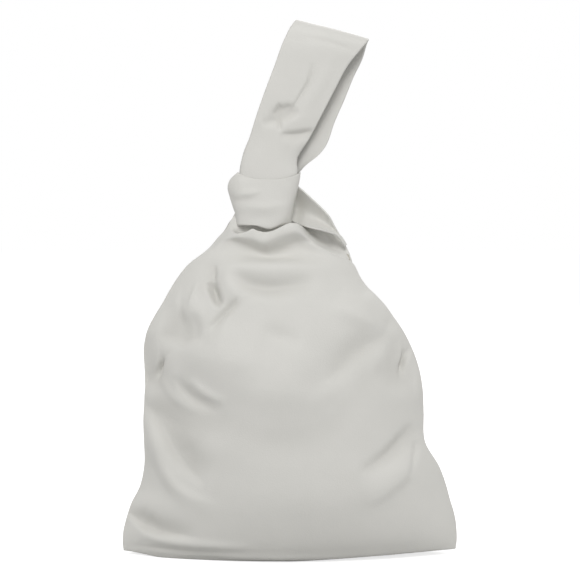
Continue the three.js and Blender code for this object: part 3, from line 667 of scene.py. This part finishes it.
# %% The strap's creases and its body
STRAP_THICK = 2.4 * MM
STRAP_DENT = 5 * MM  # no crease goes deeper than this
STRAP_FRONT = (0.002, 0.006)  # creases come in between these depths in front of the middle plane, in metres
STRAP_BOW = [  # distance from the nearer end, and bow of the layer there, in millimetres
    (0, 8.6), (18, 9.3), (36, 7), (56, 3.6), (75, 1.9), (100, 1.4), (400, 1.4),
]
BOW_POWER = 2.3  # of the place across, in the bow
BOW_ROUND, BOW_ROUNDS = 0.45, (0.02, 0.065)  # power in the band, and metres over which it goes to 1
STRAP_FOLDS = [
    ([(312, 66), (308, 84), (299, 100), (287, 119)], -2.2, 3.4, 1.3, 1.5),
    ([(334, 56), (320, 88), (303, 114)], 0.9, 6, 5, 2),
    ([(279.4, 106), (279, 118), (280.2, 132)], -4.6, 1.6, 2.2, 2),
    ([(273, 117), (281, 113), (292, 108)], -4.2, 2.6, 6, 1.6),
    ([(268, 122), (284, 119), (298, 112)], -4.0, 8, 4, 2),
    ([(262, 125), (271, 124), (279, 123)], -1.6, 4, 4, 2),
    ([(281, 136), (297, 136), (313, 133)], -4.8, 2.6, 5, 1.6),
    ([(284, 122), (297, 121), (312, 117)], 0.5, 5, 5, 2),
    ([(248, 166), (264, 168), (284, 171)], 1.0, 14, 7, 2),
    ([(298, 138), (288, 150), (287, 166)], -0.8, 4, 4, 2),
    ([(300, 40), (330, 47), (360, 58)], -0.5, 2.5, 2.5, 2),
]
front_layer = ease(-strap_core[..., 1], *STRAP_FRONT)
pressed_in = STRAP_DENT * np.tanh(folds(strap_core, STRAP_FOLDS) / STRAP_DENT)
strap_uneven = waves(strap_core, 0.35 * MM, seed=11, count=7, longest=0.09, shortest=0.02)
strap_folds = pressed_in * front_layer + strap_uneven
from_end = np.minimum(strap_at, strap_at[-1] - strap_at)
bow = smooth(*(np.array(STRAP_BOW) * MM).T, from_end)
roundness = BOW_ROUND + (1 - BOW_ROUND) * ease(from_end, *BOW_ROUNDS)
bowed = bow[:, None] * (1 - np.abs(2 * place - 1) ** BOW_POWER) ** roundness[:, None]
strap_height = layer_height * STRAP_THICK / 2 + bowed + strap_folds
strap_points = strap_core + middle_normal * strap_height[..., None]
# The strap's creases get painted shade by their depth.
strap = grid_piece("strap", strap_points, around=True, attributes={"painted_fold_shade": painted_shade_mask(strap_folds)})
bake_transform(strap)
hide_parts("long_handle_front", "long_handle_back", "long_handle_root_front", "long_handle_root_back")

# %% [markdown]
# ## Finishes
# Shader maths reads best as plain expressions, so a small class wraps a node's output and adds the Math
# nodes for it. Any other node comes from one method.

# %% Expressions on sockets
class Wire:
    """The output of a node. A sum or product of it adds the Math node that works it out."""

    def __init__(self, finish, socket):
        self.finish, self.socket = finish, socket

    def maths(self, operation, left, right):
        return self.finish.node("ShaderNodeMath", {"operation": operation}, {0: left, 1: right})

    def __add__(self, other):
        return self.maths("ADD", self, other)

    def __mul__(self, other):
        return self.maths("MULTIPLY", self, other)

    __radd__ = __add__


GRAIN_HEIGHT = 0.0003


class Finish:
    """A material, or the world, whose nodes are made one at a time."""

    def __init__(self, owner):
        owner.use_nodes = True
        self.owner, self.tree = owner, owner.node_tree
        self.tree.nodes.clear()

    def node(self, kind, settings=(), inputs=(), output=0):
        """A new node with its settings. An input is a number, a colour or the wire that leads to it."""
        made = self.tree.nodes.new(kind)
        for key, value in dict(settings).items():
            setattr(made, key, value)
        for key, value in dict(inputs).items():
            if isinstance(value, Wire):
                self.tree.links.new(value.socket, made.inputs[key])
            else:
                made.inputs[key].default_value = value
        return Wire(self, made.outputs[output]) if made.outputs else None

    def mixed(self, factor, first, second):
        """The first colour where the factor is 0 and the second where it is 1."""
        return self.node("ShaderNodeMix", {"data_type": "RGBA"}, {0: factor, 6: first, 7: second}, 2)

    def noise(self, place, scale):
        return self.node("ShaderNodeTexNoise", {}, {"Vector": place, "Scale": scale, "Detail": 3.0})

    def bump(self, strength, height):
        inputs = {"Strength": strength, "Distance": GRAIN_HEIGHT, "Height": height}
        return self.node("ShaderNodeBump", {}, inputs)

    def shown(self, inputs):
        """Ends the material with a shader that has these inputs."""
        shader = self.node("ShaderNodeBsdfPrincipled", {}, inputs)
        self.node("ShaderNodeOutputMaterial", {}, {"Surface": shader})
        return self.owner


def finish_of(name):
    return Finish(bpy.data.materials.new(name))


print("grain:", round(GRAIN_HEIGHT / MM, 2), "mm high")

# %% [markdown]
# The leather is matte and off-white. Its grain is small pebbles about a millimetre wide with finer pores,
# its colour drifts a little from place to place, and the hollows of the folds get painted shade, a greyer
# colour.

# %% Matte leather
# Pale and dull are the leather's own colours. The third colour is painted shade for the hollows of the
# folds.
PALE, DULL, PAINTED_SHADE_COLOUR = (0.70, 0.69, 0.655, 1), (0.655, 0.648, 0.612, 1), (0.52, 0.51, 0.475, 1)
PEBBLES, PORES, DRIFTS = 850.0, 2600.0, 28.0  # to the metre
PEBBLE_SHARE, PORE_SHARE, GRAIN_STRENGTH = 0.7, 0.3, 0.35
# How much of the painted shade colour the deepest folds get.
PAINTED_SHADE_SHARE = 0.35  # of the shaded colour, in the deepest folds
ROUGH, ROUGH_DRIFT = 0.56, 0.16


def matte_leather():
    """Colour drifts between pale and dull, and turns towards the painted shade colour by the depth of the
    folds. The grain is a weighted sum of pebbles and pores."""
    leather = finish_of("matte_leather")
    place = leather.node("ShaderNodeTexCoord", output="Object")
    pebbles = leather.node("ShaderNodeTexVoronoi", {"feature": "SMOOTH_F1"},
                           {"Vector": place, "Scale": PEBBLES, "Smoothness": 0.6, "Randomness": 1.0})
    pores = leather.noise(place, PORES)
    drift = leather.noise(place, DRIFTS)
    # The depth of the folds, which steers the painted shade.
    painted_fold_shade = leather.node("ShaderNodeAttribute", {"attribute_name": "painted_fold_shade"}, output="Fac")
    colour = leather.mixed(painted_fold_shade * PAINTED_SHADE_SHARE, leather.mixed(drift, PALE, DULL), PAINTED_SHADE_COLOUR)
    grain = leather.bump(GRAIN_STRENGTH, pebbles * PEBBLE_SHARE + pores * PORE_SHARE)
    return leather.shown({
        "Base Color": colour, "Roughness": ROUGH + drift * ROUGH_DRIFT, "Normal": grain,
        "Specular IOR Level": 0.35, "Sheen Weight": 0.06, "Sheen Roughness": 0.5,
    })


leather = matte_leather()
for piece in (pouch_front, pouch_back, knot_band, root_strip, strap):
    piece.data.materials.append(leather)
print("finish:", leather.name)

# %% [markdown]
# The lining is plain cotton. Its threads could be modelled only at great cost, so two sets of waves stand
# for the warp and the weft and give both the tone and the relief.

# %% Lining cotton
BETWEEN_THREADS, ON_THREADS = (0.42, 0.40, 0.34, 1), (0.60, 0.57, 0.49, 1)
THREADS, THREAD_STRENGTH = 420.0, 0.4  # scale of the waves, and strength of their relief


def lining_cotton():
    """Half the warp's waves and half the weft's are the weave, which gives the tone and the relief."""
    cotton = finish_of("lining_cotton")
    place = cotton.node("ShaderNodeTexCoord", output="Object")
    threads = {"Vector": place, "Scale": THREADS, "Distortion": 0.6}
    weft = cotton.node("ShaderNodeTexWave", {"bands_direction": "Z"}, threads)
    warp = cotton.node("ShaderNodeTexWave", {"bands_direction": "X"}, threads)
    weave = weft * 0.5 + warp * 0.5
    colour = cotton.mixed(weave, BETWEEN_THREADS, ON_THREADS)
    relief = cotton.bump(THREAD_STRENGTH, weave)
    return cotton.shown({"Base Color": colour, "Roughness": 0.9, "Normal": relief})


cotton = lining_cotton()
for piece in (lining_front, lining_back):
    piece.data.materials.append(cotton)
print("finish:", cotton.name)

# %% [markdown]
# ## The studio
# A pale floor, large soft lamps above in front and behind, weaker ones beside, and an even fill. The floor
# and the world show white to the eye and stay greyer for the light that they throw back, so the lower front
# of the bag keeps its shade.

# %% Floor and fill
FLOOR_GREY, FLOOR_GLOW, FLOOR_SIDE = 0.62, 0.72, 12.0  # the side is in metres
FILL = 0.46  # of white, in the light from all around


def looked_at(finish):
    """1 for the rays that the eye follows, straight, mirrored or through glass, and 0 for other light."""
    kinds = ("Is Camera Ray", "Is Glossy Ray", "Is Transmission Ray")
    camera, mirrored, through = (finish.node("ShaderNodeLightPath", output=kind) for kind in kinds)
    return camera + mirrored + through


def floor_finish():
    floor = finish_of("studio_floor")
    matte = floor.node("ShaderNodeBsdfDiffuse", {}, {"Color": (FLOOR_GREY, FLOOR_GREY, FLOOR_GREY, 1)})
    glow = {"Color": (1, 1, 1, 1), "Strength": looked_at(floor) * FLOOR_GLOW}
    white = floor.node("ShaderNodeEmission", {}, glow)
    shader = floor.node("ShaderNodeAddShader", {}, {0: matte, 1: white})
    floor.node("ShaderNodeOutputMaterial", {}, {"Surface": shader})
    return floor.owner


def flat_grid(size, count):
    line = np.linspace(-size / 2, size / 2, count)
    x, y = np.meshgrid(line, line)
    return np.stack([x, y, 0 * x], axis=2)


floor = grid_piece("studio_floor", flat_grid(FLOOR_SIDE, 3))
floor.data.materials.append(floor_finish())

world = Finish(bpy.data.worlds.new("studio"))
bpy.context.scene.world = world.owner
level = looked_at(world) * (1 - FILL) + FILL
sky = world.node("ShaderNodeBackground", {}, {"Color": (1, 1, 1, 1), "Strength": level})
world.node("ShaderNodeOutputWorld", {}, {"Surface": sky})

# %% Lamps
LAMPS = [  # name, place and aim in metres, width in metres and power in watts
    ("key_lamp", (0.04, -1.5, 1.45), (0, 0, 0.25), 0.8, 16.6),
    ("back_lamp", (0.4, 1.7, 1.6), (0, 0, 0.2), 1.2, 18),
    ("left_lamp", (-1.6, -0.4, 0.7), (0, 0, 0.2), 1.0, 2.6),
    ("right_lamp", (1.6, -0.4, 0.7), (0, 0, 0.2), 1.0, 2.2),
]


def placed(name, data, place, aim):
    """A new lamp or camera at its place, with its own -Z axis towards the aim."""
    holder = bpy.data.objects.new(name, data)
    bpy.context.scene.collection.objects.link(holder)
    holder.location = place
    holder.rotation_euler = (Vector(aim) - Vector(place)).to_track_quat("-Z", "Y").to_euler()
    return holder


for name, spot, aim, size, power in LAMPS:
    lamp = bpy.data.lights.new(name, "AREA")
    lamp.shape, lamp.size, lamp.energy = "DISK", size, power
    placed(name, lamp, spot, aim)
print("lamps:", [lamp[0] for lamp in LAMPS])

# %% [markdown]
# ## The camera
# The photo looks at the front from a little above. A long lens from 1.45 m keeps the outline as drawn.

# %% Camera
CAMERA_RISE = np.radians(4.0)
CAMERA_FAR = 1.45
CAMERA_LENS, CAMERA_SENSOR = 100, 36  # millimetres
AIM = (-0.0009, 0.0, 0.2403)
CAMERA_BACK, CAMERA_UP = CAMERA_FAR * np.cos(CAMERA_RISE), CAMERA_FAR * np.sin(CAMERA_RISE)
camera = placed("camera", bpy.data.cameras.new("camera"), (AIM[0], -CAMERA_BACK, AIM[2] + CAMERA_UP), AIM)
camera.data.lens = CAMERA_LENS
camera.data.sensor_width = CAMERA_SENSOR
bpy.context.scene.camera = camera
bpy.context.scene.view_settings.view_transform = "Standard"
print("camera:", np.round(camera.location, 3))

# %% [markdown]
# Each piece is cut from flat leather or cotton.

# %% The end
bpy.context.view_layer.update()
